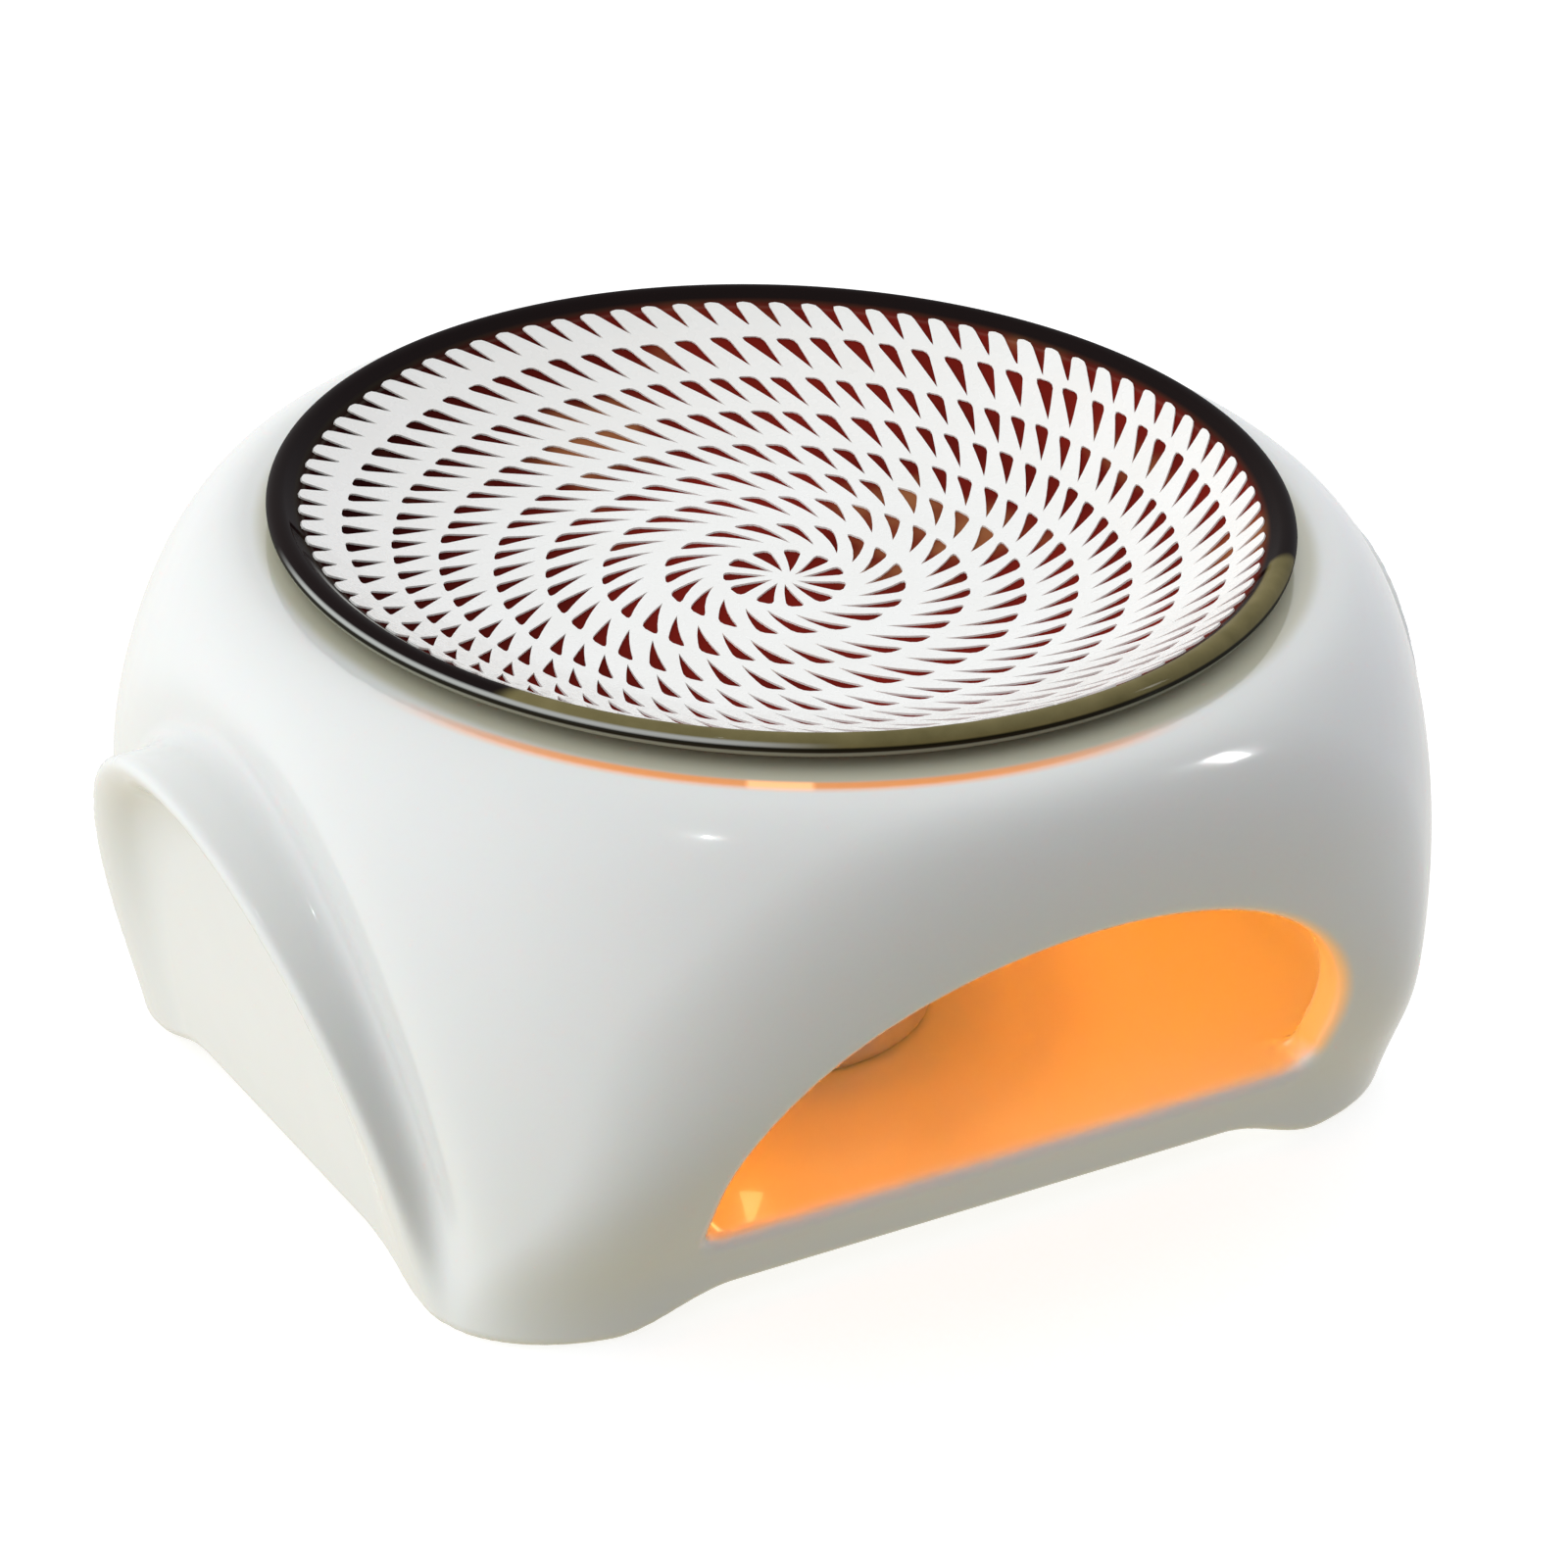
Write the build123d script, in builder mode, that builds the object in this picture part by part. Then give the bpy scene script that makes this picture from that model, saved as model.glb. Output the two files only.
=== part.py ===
"""Porcelain wax melt warmer: a domed body over a tealight, with a shallow dish that lifts off."""

import os
from math import hypot

from build123d import *

os.makedirs("parts", exist_ok=True)

# Sizes in millimetres. The origin is on the table under the body's axis, and the front archway faces -Y.

# Dome of the body, a solid of revolution
base_radius = 66.8
belly_radius = 70.0
belly_height = 24.0
seat_height = 61.8
seat_outer_radius = 55.5
wall = 4.5

# Floor of the candle chamber, and the feet under it
floor_top = 11.0
foot_height = 3.5
foot_slope_run = 9.0
front_foot_gap = 82.0
side_foot_gap = 58.0

# Front and back faces: upright at the foot, then leaning outward, strongly up to the knee and less above it
front_half_depth = 44.4
front_lean_start = 4.0
front_lean = 0.57
front_knee_height = 20.0
front_upper_lean = 0.31

# Archways through the front and back faces
archway_half_width = 37.5
archway_spring_height = 18.0
archway_crown_height = 44.8
archway_corner_radius = 4.0

# Side porches: arched hoods whose lip leans outward, with a shallow blind panel inside
porch_half_width = 32.8
porch_spring_height = 8.0
porch_crown_height = 48.8
side_half_length = 57.0
side_lean = 0.3
lip_width = 2.2
panel_lean = 0.2

# Dish, which rests on the seat by a ledge under its rim
dish_radius = 53.0
dish_rim_height = 3.5
dish_rim_overhang = 2.6
dish_bead_radius = 1.2
dish_ledge_width = 2.2
dish_depth = 10.0
dish_floor_radius = 22.0
dish_wall = 3.0
dish_clearance = 0.5

# Tealight, standing loose on the chamber's floor a little in front of the axis and to its left
tealight_front_offset = 7.2
tealight_left_offset = 5.0
cup_radius = 19.0
cup_height = 13.5
cup_wall = 0.3
cup_base_fillet = 1.2
cup_bead_radius = 0.5
wax_depth = 11.0
wax_gap = 0.1
sustainer_radius = 6.5
sustainer_thickness = 0.3
neck_radius = 1.5
neck_height = 3.0
wick_radius = 0.8
wick_rise = 6.0
wick_gap = 0.05

# Worked out from the sizes above
dish_ledge_radius = dish_radius - dish_rim_overhang
dish_neck_radius = dish_ledge_radius - dish_ledge_width
dish_opening_radius = dish_neck_radius + dish_clearance
cut_reach = 2 * (belly_radius + side_half_length)
front_stages = (front_lean_start, front_lean), (front_knee_height, front_upper_lean)
front_wall_depth = wall * hypot(1, front_lean)
side_wall_depth = wall * hypot(1, panel_lean)
cup_floor = floor_top + cup_wall
wax_top = cup_floor + wax_depth
tealight_foot = -tealight_left_offset, -tealight_front_offset, 0
tealight_plane = Plane(tealight_foot, x_dir=(1, 0, 0), z_dir=(0, -1, 0))
tealight_axis = Axis(tealight_foot, (0, 0, 1))


def dome_outline(inset, bottom):
    """Half section of the dome, drawn in by the inset and cut level at the bottom."""
    top = seat_height - inset
    with BuildLine() as outline:
        flank = TangentArc((belly_radius - inset, belly_height), (base_radius - inset, 0), tangent=(0, -1))
        shoulder = EllipticalCenterArc(
            (seat_outer_radius, belly_height), belly_radius - inset - seat_outer_radius, top - belly_height
        )
        Polyline(shoulder @ 1, (0, top), (0, 0), flank @ 1)
    make_face(outline.edges())
    if bottom > 0:
        with Locations((0, bottom)):
            Rectangle(2 * cut_reach, cut_reach, align=(Align.CENTER, Align.MAX), mode=Mode.SUBTRACT)


def leaning_outline(half_at_floor, *stages):
    """Symmetric outline of upright sides that lean outward in stages, each a starting height and a lean."""
    half = half_at_floor
    right_side = [(half, -wall)]
    ends = [start for start, lean in stages[1:]] + [cut_reach]
    for (start, lean), end in zip(stages, ends):
        right_side.append((half, start))
        half += lean * (end - start)
    right_side.append((half, cut_reach))
    left_side = [(-x, z) for x, z in reversed(right_side)]
    Polygon(*right_side, *left_side, align=None)


def arch_outline(half_width, bottom, spring, crown):
    """Upright sides under half an ellipse."""
    with BuildLine() as outline:
        arc = EllipticalCenterArc((0, spring), half_width, crown - spring, arc_size=180)
        Polyline(arc @ 1, (-half_width, bottom), (half_width, bottom), arc @ 0)
    make_face(outline.edges())


def foot_gap_outline(gap):
    """Low opening under the body between two feet, with sloping ends."""
    half_low = gap / 2
    half_high = half_low - foot_slope_run
    right_side = [(half_low, -wall), (half_low, 0), (half_high, foot_height)]
    left_side = [(-x, z) for x, z in reversed(right_side)]
    Polygon(*right_side, *left_side, align=None)


def ring_section(inner_radius, outer_radius, bottom, top):
    """Rectangle that turns into a ring, or into a disc where the inner radius is nothing."""
    with Locations((inner_radius, bottom)):
        Rectangle(outer_radius - inner_radius, top - bottom, align=Align.MIN)


# Candle chamber: the hollow inside the body
with BuildPart() as chamber:
    with BuildSketch(Plane.XZ):
        dome_outline(wall, floor_top)
    revolve(axis=Axis.Z)
    with BuildSketch(Plane.YZ):
        leaning_outline(front_half_depth - front_wall_depth, *front_stages)
    extrude(amount=cut_reach, both=True, mode=Mode.INTERSECT)
    with BuildSketch(Plane.XZ):
        leaning_outline(side_half_length - side_wall_depth, (0, panel_lean))
    extrude(amount=cut_reach, both=True, mode=Mode.INTERSECT)

# Blind panels sunk into the two side porches, deeper towards the crown
with BuildPart() as panel_recesses:
    with BuildSketch(Plane.YZ):
        panel_half_width = porch_half_width - lip_width
        panel_crown_height = porch_crown_height - lip_width
        arch_outline(panel_half_width, -wall, porch_spring_height, panel_crown_height)
    extrude(amount=cut_reach, both=True)
    with BuildSketch(Plane.XZ):
        leaning_outline(side_half_length, (0, panel_lean))
    extrude(amount=cut_reach, both=True, mode=Mode.SUBTRACT)

# Body
with BuildPart() as warmer_body:
    with BuildSketch(Plane.XZ):
        dome_outline(0, 0)
    revolve(axis=Axis.Z)
    with BuildSketch(Plane.YZ):
        arch_outline(porch_half_width, 0, porch_spring_height, porch_crown_height)
    extrude(amount=cut_reach, both=True)
    with BuildSketch(Plane.XZ):
        leaning_outline(side_half_length, (0, side_lean))
    extrude(amount=cut_reach, both=True, mode=Mode.INTERSECT)
    with BuildSketch(Plane.YZ):
        leaning_outline(front_half_depth, *front_stages)
    extrude(amount=cut_reach, both=True, mode=Mode.INTERSECT)
    add(panel_recesses.part, mode=Mode.SUBTRACT)
    add(chamber.part, mode=Mode.SUBTRACT)
    with BuildSketch(Plane.XY.offset(floor_top)):
        Circle(dish_opening_radius)
    extrude(amount=cut_reach, mode=Mode.SUBTRACT)
    with BuildSketch(Plane.XZ) as archway:
        arch_outline(archway_half_width, floor_top, archway_spring_height, archway_crown_height)
        fillet(archway.vertices().group_by(Axis.Y)[0], archway_corner_radius)
    extrude(amount=cut_reach, both=True, mode=Mode.SUBTRACT)
    with BuildSketch(Plane.XZ):
        foot_gap_outline(front_foot_gap)
    extrude(amount=cut_reach, both=True, mode=Mode.SUBTRACT)
    with BuildSketch(Plane.YZ):
        foot_gap_outline(side_foot_gap)
    extrude(amount=cut_reach, both=True, mode=Mode.SUBTRACT)
warmer_body.part.label = "warmer_body"
export_step(warmer_body.part, "parts/warmer_body.step")

# Dish
with BuildPart() as melting_dish:
    rim_top = seat_height + dish_rim_height
    dish_floor = rim_top - dish_depth
    bead_centre = dish_radius - dish_bead_radius, rim_top - dish_bead_radius
    with BuildSketch(Plane.XZ):
        with BuildLine():
            bead = CenterArc(bead_centre, dish_bead_radius, start_angle=-45, arc_size=180)
            bowl = TangentArc((dish_floor_radius, dish_floor), bead @ 1, tangent=(1, 0))
            belly = TangentArc(
                (dish_floor_radius, dish_floor - dish_wall),
                (dish_neck_radius, seat_height - dish_wall),
                tangent=(1, 0),
            )
            Polyline(belly @ 1, (dish_neck_radius, seat_height), (dish_ledge_radius, seat_height), bead @ 0)
            Polyline(belly @ 0, (0, dish_floor - dish_wall), (0, dish_floor), bowl @ 0)
        make_face()
    revolve(axis=Axis.Z)
melting_dish.part.label = "melting_dish"
export_step(melting_dish.part, "parts/melting_dish.step")

# Tealight cup: a thin drawn cup with a rolled edge
with BuildPart() as tealight_cup:
    cup_wall_radius = cup_radius - cup_bead_radius
    with BuildSketch(tealight_plane) as cup_outside:
        ring_section(0, cup_wall_radius, floor_top, floor_top + cup_height - cup_bead_radius)
        fillet(cup_outside.vertices().group_by(Axis.Y)[0].sort_by(Axis.X)[-1], cup_base_fillet)
    revolve(axis=tealight_axis)
    with BuildSketch(tealight_plane) as cup_inside:
        ring_section(0, cup_wall_radius - cup_wall, cup_floor, floor_top + cup_height)
        fillet(cup_inside.vertices().group_by(Axis.Y)[0].sort_by(Axis.X)[-1], cup_base_fillet - cup_wall)
    revolve(axis=tealight_axis, mode=Mode.SUBTRACT)
    with BuildSketch(tealight_plane):
        with Locations((cup_wall_radius, floor_top + cup_height - cup_bead_radius)):
            Circle(cup_bead_radius)
    revolve(axis=tealight_axis)
tealight_cup.part.label = "tealight_cup"
export_step(tealight_cup.part, "parts/tealight_cup.step")

# Sustainer: the tin disc and neck that hold the wick upright in the wax
with BuildPart() as wick_sustainer:
    with BuildSketch(tealight_plane):
        ring_section(wick_radius + wick_gap, sustainer_radius, cup_floor, cup_floor + sustainer_thickness)
        ring_section(wick_radius + wick_gap, neck_radius, cup_floor, cup_floor + neck_height)
    revolve(axis=tealight_axis)
wick_sustainer.part.label = "wick_sustainer"
export_step(wick_sustainer.part, "parts/wick_sustainer.step")

# Wick
with BuildPart() as wick:
    with BuildSketch(tealight_plane):
        ring_section(0, wick_radius, cup_floor, wax_top + wick_rise)
    revolve(axis=tealight_axis)
wick.part.label = "wick"
export_step(wick.part, "parts/wick.step")

# Wax, cast around the sustainer and the wick
with BuildPart() as tealight_wax:
    with BuildSketch(tealight_plane) as wax_section:
        ring_section(0, cup_wall_radius - cup_wall - wax_gap, cup_floor, wax_top)
        fillet(wax_section.vertices().group_by(Axis.Y)[0].sort_by(Axis.X)[-1], cup_base_fillet)
        disc_top = cup_floor + sustainer_thickness + wax_gap
        neck_top = cup_floor + neck_height + wax_gap
        with Locations((0, 0)):
            Rectangle(
                2 * (sustainer_radius + wax_gap), disc_top, align=(Align.CENTER, Align.MIN), mode=Mode.SUBTRACT
            )
            Rectangle(
                2 * (neck_radius + wax_gap), neck_top, align=(Align.CENTER, Align.MIN), mode=Mode.SUBTRACT
            )
            Rectangle(
                2 * (wick_radius + wick_gap), 2 * wax_top, align=(Align.CENTER, Align.MIN), mode=Mode.SUBTRACT
            )
    revolve(axis=tealight_axis)
tealight_wax.part.label = "tealight_wax"
export_step(tealight_wax.part, "parts/tealight_wax.step")
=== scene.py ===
import math

import bpy
import numpy as np
from mathutils import Matrix, Vector
from mathutils.geometry import delaunay_2d_cdt


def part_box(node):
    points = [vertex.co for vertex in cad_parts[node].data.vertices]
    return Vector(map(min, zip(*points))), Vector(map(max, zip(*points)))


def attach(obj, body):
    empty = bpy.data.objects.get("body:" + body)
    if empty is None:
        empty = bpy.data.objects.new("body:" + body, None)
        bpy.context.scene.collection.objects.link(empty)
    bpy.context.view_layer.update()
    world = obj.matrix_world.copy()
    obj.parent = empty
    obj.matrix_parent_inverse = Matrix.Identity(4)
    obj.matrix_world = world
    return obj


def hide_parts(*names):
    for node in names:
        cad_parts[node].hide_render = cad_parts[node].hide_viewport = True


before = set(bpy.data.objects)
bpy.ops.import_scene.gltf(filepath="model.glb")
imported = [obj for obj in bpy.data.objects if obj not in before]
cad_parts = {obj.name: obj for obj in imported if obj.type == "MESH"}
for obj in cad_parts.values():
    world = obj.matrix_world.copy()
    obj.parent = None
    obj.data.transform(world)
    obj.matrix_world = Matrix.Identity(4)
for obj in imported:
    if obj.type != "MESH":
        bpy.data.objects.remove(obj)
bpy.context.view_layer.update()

# Sizes of the shapes are in millimetres. Blender's objects are in metres.
MM = 0.001
TURN = 2 * math.pi
TINY = 1e-6
rng = np.random.default_rng(7)

# Body: the outer drum, with the seat for the dish on top
BASE_RADIUS = 66.8
BELLY_RADIUS = 70.0
BELLY_HEIGHT = 24.0
SEAT_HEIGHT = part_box("warmer_body")[1].z / MM
SEAT_OUTER_RADIUS = 55.5
WALL = 4.5

# Body: floor and feet
FLOOR_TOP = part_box("tealight_cup")[0].z / MM
FOOT_HEIGHT = 3.5
FRONT_GAP_HALF = 36.5
SIDE_GAP_HALF = 24.5
FOOT_CURVE_RUN = 13.5

# Body: leaning front and back with their archways
FRONT_HALF_DEPTH = 44.4
FRONT_LEAN_START = 4.0
FRONT_LEAN = 0.57
FRONT_KNEE_HEIGHT = 20.0
FRONT_UPPER_LEAN = 0.31
ARCHWAY_HALF_WIDTH = 36.2
ARCHWAY_SHIFT = 1.4
ARCHWAY_SPRING = 18.0
ARCHWAY_CROWN = 44.0

# Body: side porches
PORCH_HALF_WIDTH = 32.8
PORCH_SPRING = 8.0
PORCH_CROWN = 48.8
SIDE_HALF_LENGTH = 57.0
SIDE_LEAN = 0.3
LIP_WIDTH = 2.2
PANEL_LEAN = 0.2

# Body: how softly its faces run into each other
PORCH_COVE = 2.5
PORCH_DIP = 3.2
PORCH_DIP_REACH = 5.5
PORCH_DIP_TOP = 18.0
LIP_ROUND = 1.6
PANEL_COVE = 9.0
FRONT_TOE_ROUND = 9.0
FRONT_CORNER_ROUND = 5.0
FRONT_BROW_ROUND = 10.0
FRONT_KNEE_ROUND = 6.0
FRONT_FOOT_ROUND = 3.0
FOOT_ROUND = 1.6
CHAMBER_ROUND = 7.0
FLOOR_ROUND = 3.0
ARCHWAY_ROUND = 2.0
SEAT_ROUND = 0.8

# Body: grid that its surface is drawn from, with the margin in grid cells
GRID_SPACING = 0.8
GRID_MARGIN = 1.3
LEAST_SLOPE_SQUARE = 0.05

# Dish
DISH_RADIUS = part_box("melting_dish")[1].x / MM
DISH_RIM_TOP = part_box("melting_dish")[1].z / MM
DISH_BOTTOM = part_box("melting_dish")[0].z / MM
DISH_BEAD_RADIUS = 1.2
DISH_RIM_OVERHANG = 2.6
DISH_LEDGE_WIDTH = 2.2
DISH_CLEARANCE = 0.5
DISH_DEPTH = 10.0
DISH_FLOOR_RADIUS = 22.0
DISH_WALL = 3.0
DISH_EDGE = 0.3
DISH_LEDGE_RISE = 0.2
DISH_FLAT_RADII = (6.0, 14.0)
DISH_STEPS = 288

# Slip on the dish: rows of wedge cuts, given as the outer radius of a row and how many cuts it has
SLIP_THICKNESS = 0.22
SLIP_BEDDING = 0.15
SLIP_EDGE_RADIUS = 49.7
CUT_ROWS = ((45.9, 76), (40.9, 74), (35.9, 62), (30.4, 51), (25.0, 38), (19.1, 30), (12.6, 19), (6.4, 11))
CUT_LENGTH = 4.6
CUT_LENGTH_SHARE = 0.8
CUT_WIDTH_SHARE = 0.6
CUT_SLANT = math.radians(43)
ROSETTE_LENGTH = 5.0
ROSETTE_SLANT = math.radians(8)
COMB_TEETH = 87
COMB_NOTCH_RADIUS = 47.0
PATTERN_CENTRE = Vector((0.56, -0.33))

# Slip on the dish: how far single cuts and notches stray
CUT_STRAY = 0.15
CUT_LENGTH_STRAY = (0.92, 1.06)
CUT_WIDTH_STRAY = (0.85, 1.08)
CUT_STEP_STRAY = 0.06
NOTCH_STRAY = (-0.2, 0.25)

# Slip on the dish: rings of points outside each row, which keep the triangles small
FILL_OFFSETS = (0.6, 1.4)
FILL_SPACING = 1.5

# Tealight
CUP_LOW, CUP_HIGH = (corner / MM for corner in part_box("tealight_cup"))
CUP_CENTRE = (CUP_LOW + CUP_HIGH) / 2
CUP_RADIUS = CUP_HIGH.x - CUP_CENTRE.x
CUP_HEIGHT = CUP_HIGH.z - CUP_LOW.z
CUP_STEPS = 192
FLUTE_DEPTH = 0.18
FLUTE_COUNT = 48
WAX_LOW, WAX_HIGH = (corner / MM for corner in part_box("tealight_wax"))
WAX_RADIUS = WAX_HIGH.x - CUP_CENTRE.x
WAX_STEPS = 128
WICK_LOW, WICK_HIGH = (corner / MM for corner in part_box("wick"))
WICK_RADIUS = WICK_HIGH.x - CUP_CENTRE.x
WICK_STEPS = 20
FLAME_BASE = WICK_HIGH.z - 3.2
FLAME_HEIGHT = 17.0
FLAME_GIRTH = 3.1
FLAME_ASIDE = 0.3
FLAME_STEPS = 40

# Light that the studio sends from each side. What comes from below is the warm light of a table top.
LEFT_LIGHT = (1.55, 1.6, 1.64)
RIGHT_LIGHT = (0.8, 0.83, 0.9)
FRONT_LIGHT = (0.0, 0.0, 0.0)
BACK_LIGHT = (1.05, 1.05, 1.05)
BELOW_LIGHT = (0.48, 0.39, 0.14)
ABOVE_LIGHT = (1.02, 1.03, 1.02)

# Floor, with its size in metres
FLOOR_HALF = 4.0
FLOOR_GREY = (0.53, 0.53, 0.53)
FLOOR_PALE = (0.55, 0.55, 0.55)
FLOOR_GLOW = 0.68

# Lamps that show as glints in the glaze: a spot on the body, the way to the lamp, its size in metres, power
WINDOW_GLINT = ((15.7, -58.4, 59.1), (0.78, -0.49, 0.39), (0.1, 0.2), 1.2)
SPARK_GLINT = ((-36.7, -48.9, 58.8), (-0.43, -0.41, 0.81), (0.025, 0.03), 0.2)

# Candle light: a lamp that casts shadows, a softer one that casts none, and the painted glow and painted
# highlight on the porcelain
CANDLE_COLOUR = (1.0, 0.33, 0.0)
CANDLE_HEIGHT = 36.0
CANDLE_POWER = 0.09
CANDLE_RADIUS = 6.0
GLOW_POWER = 0.078
GLOW_RADIUS = 20.0
PAINTED_GLOW_STRENGTH = 0.3
PAINTED_HIGHLIGHT_STRENGTH = 0.3


# Meshes

def make_piece(name, vertices, faces, material, body):
    """Smooth mesh object from points in millimetres, riding on a body."""
    mesh = bpy.data.meshes.new(name)
    mesh.from_pydata(np.asarray(vertices, float) * MM, [], faces)
    mesh.update()
    mesh.polygons.foreach_set("use_smooth", [True] * len(mesh.polygons))
    piece = bpy.data.objects.new(name, mesh)
    bpy.context.scene.collection.objects.link(piece)
    mesh.materials.append(material)
    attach(piece, body)
    return piece


def revolved(profile, steps, centre=(0.0, 0.0), shape=None):
    """Points and faces of a profile of (radius, height) turned about an upright axis."""
    angles = np.arange(steps) * TURN / steps
    vertices = []
    rings = []
    for radius, height in profile:
        if radius < TINY:
            rings.append([len(vertices)] * steps)
            vertices.append((centre[0], centre[1], height))
            continue
        radii = np.full(steps, radius) if shape is None else shape(radius, height, angles)
        rings.append(list(range(len(vertices), len(vertices) + steps)))
        x = centre[0] + radii * np.cos(angles)
        y = centre[1] + radii * np.sin(angles)
        vertices.extend(zip(x, y, np.full(steps, height)))
    faces = []
    for low, high in zip(rings, rings[1:]):
        for i in range(steps):
            j = (i + 1) % steps
            corners = (low[i], low[j], high[j], high[i])
            faces.append(tuple(dict.fromkeys(corners)))
    return vertices, faces


def arc_points(centre, radius, start, end, count):
    """Points of an arc in the (radius, height) plane, from one angle to the other, in degrees."""
    angles = np.radians(np.linspace(start, end, count))
    return [(centre[0] + radius * math.cos(a), centre[1] + radius * math.sin(a)) for a in angles]


# Body: a field that is negative inside the porcelain

def smooth_min(a, b, reach):
    """Lesser of two fields, with the crease between them filled over a reach."""
    near = np.maximum(reach - np.abs(a - b), 0) / reach
    return np.minimum(a, b) - near * near * reach / 4


def smooth_max(a, b, reach):
    """Greater of two fields, with the edge between them rounded over a reach."""
    return -smooth_min(-a, -b, reach)


def ramp(value, low, high):
    """Rises from 0 to 1 between two values, with soft ends."""
    share = np.clip((value - low) / (high - low), 0, 1)
    return share * share * (3 - 2 * share)


def ellipse_field(across, upward, half_across, half_upward):
    """Distance to an ellipse about the origin, close to true near its edge."""
    across = np.maximum(across, TINY)
    upward = np.maximum(upward, TINY)
    scaled = np.hypot(across / half_across, upward / half_upward)
    slope = np.hypot(across / half_across**2, upward / half_upward**2)
    return scaled * (scaled - 1) / slope


def drum_field(radius, height, inset):
    """Drum: an arc from the base to the belly, then a quarter ellipse in to the flat seat."""
    belly = BELLY_RADIUS - inset
    draw_in = BELLY_RADIUS - BASE_RADIUS
    flank_radius = (draw_in**2 + BELLY_HEIGHT**2) / (2 * draw_in)
    flank = np.hypot(radius - belly + flank_radius, height - BELLY_HEIGHT) - flank_radius
    shoulder = ellipse_field(
        radius - SEAT_OUTER_RADIUS,
        height - BELLY_HEIGHT,
        belly - SEAT_OUTER_RADIUS,
        SEAT_HEIGHT - inset - BELLY_HEIGHT,
    )
    return np.where(height < BELLY_HEIGHT, flank, shoulder)


def arch_field(across, height, half_width, spring, crown):
    """Arch outline: upright sides under half an ellipse."""
    head = ellipse_field(across, height - spring, half_width, crown - spring)
    return np.where(height < spring, across - half_width, head)


def leaning_field(across, height, half_at_floor, lean):
    """Plane that leans outward by a share of the height."""
    return (across - half_at_floor - lean * height) / math.hypot(1, lean)


def gap_height(across, half_gap):
    """Height of the underside between two feet, with soft ends."""
    return FOOT_HEIGHT * ramp(-across, -half_gap - FOOT_CURVE_RUN / 2, -half_gap + FOOT_CURVE_RUN / 2)


def front_field(y, z, inset):
    """Front and back face: upright at the foot, leaning outward up to the knee, and less above it."""
    half = FRONT_HALF_DEPTH - inset
    half_at_knee = half + FRONT_LEAN * (FRONT_KNEE_HEIGHT - FRONT_LEAN_START)
    lower = leaning_field(y, z - FRONT_LEAN_START, half, FRONT_LEAN)
    upper = leaning_field(y, z - FRONT_KNEE_HEIGHT, half_at_knee, FRONT_UPPER_LEAN)
    return smooth_min(y - half, smooth_max(lower, upper, FRONT_KNEE_ROUND), FRONT_FOOT_ROUND)


def outside_field(x, y, z, radius):
    """Body without its hollows."""
    porch = arch_field(y, z, PORCH_HALF_WIDTH, PORCH_SPRING, PORCH_CROWN)
    dip = PORCH_DIP * np.exp(-((porch / PORCH_DIP_REACH) ** 2))
    dip = dip * ramp(x, 0, BASE_RADIUS / 2) * ramp(z, -PORCH_DIP_REACH, PORCH_DIP_TOP)
    field = smooth_min(drum_field(radius, z, 0) + dip, porch, PORCH_COVE)
    field = smooth_max(field, leaning_field(x, z, SIDE_HALF_LENGTH, SIDE_LEAN), LIP_ROUND)
    panel_outline = arch_field(y, z, PORCH_HALF_WIDTH - LIP_WIDTH, PORCH_SPRING, PORCH_CROWN - LIP_WIDTH)
    panel = smooth_max(panel_outline, -leaning_field(x, z, SIDE_HALF_LENGTH, PANEL_LEAN), PANEL_COVE)
    field = smooth_max(field, -panel, LIP_ROUND)
    brow = ramp(z, FRONT_KNEE_HEIGHT, ARCHWAY_CROWN)
    toe = 1 - ramp(z, 0, FRONT_KNEE_HEIGHT)
    rounding = FRONT_CORNER_ROUND + (FRONT_BROW_ROUND - FRONT_CORNER_ROUND) * brow
    rounding = rounding + (FRONT_TOE_ROUND - FRONT_CORNER_ROUND) * toe
    field = smooth_max(field, front_field(y, z, 0), rounding)
    underside = np.maximum(gap_height(x, FRONT_GAP_HALF), gap_height(y, SIDE_GAP_HALF))
    return smooth_max(field, underside - z, FOOT_ROUND)


def hollow_field(x, y, z, radius, across_archway):
    """Candle chamber, archways and the opening that the dish hangs in."""
    front_wall = WALL * math.hypot(1, FRONT_LEAN)
    side_wall = WALL * math.hypot(1, PANEL_LEAN)
    side = leaning_field(x, z, SIDE_HALF_LENGTH - side_wall, PANEL_LEAN)
    chamber = smooth_max(drum_field(radius, z, WALL), front_field(y, z, front_wall), CHAMBER_ROUND)
    chamber = smooth_max(chamber, side, CHAMBER_ROUND)
    archway = arch_field(across_archway, z, ARCHWAY_HALF_WIDTH, ARCHWAY_SPRING, ARCHWAY_CROWN)
    hollow = smooth_min(chamber, archway, ARCHWAY_ROUND)
    opening_radius = DISH_RADIUS - DISH_RIM_OVERHANG - DISH_LEDGE_WIDTH + DISH_CLEARANCE
    opening = np.maximum(radius - opening_radius, SEAT_HEIGHT - 2 * WALL - z)
    hollow = smooth_min(hollow, opening, SEAT_ROUND)
    return smooth_max(hollow, FLOOR_TOP - z, FLOOR_ROUND)


def body_field(points):
    """Porcelain body, alike on both sides of both upright planes but for its archways, a little aside."""
    across_archway = np.abs(points[..., 0] - ARCHWAY_SHIFT)
    x = np.abs(points[..., 0])
    y = np.abs(points[..., 1])
    z = points[..., 2]
    radius = np.hypot(x, y)
    outside = outside_field(x, y, z, radius)
    hollow = hollow_field(x, y, z, radius, across_archway)
    rounding = np.where(z > SEAT_HEIGHT - WALL, SEAT_ROUND, ARCHWAY_ROUND)
    return smooth_max(outside, -hollow, rounding)


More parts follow.
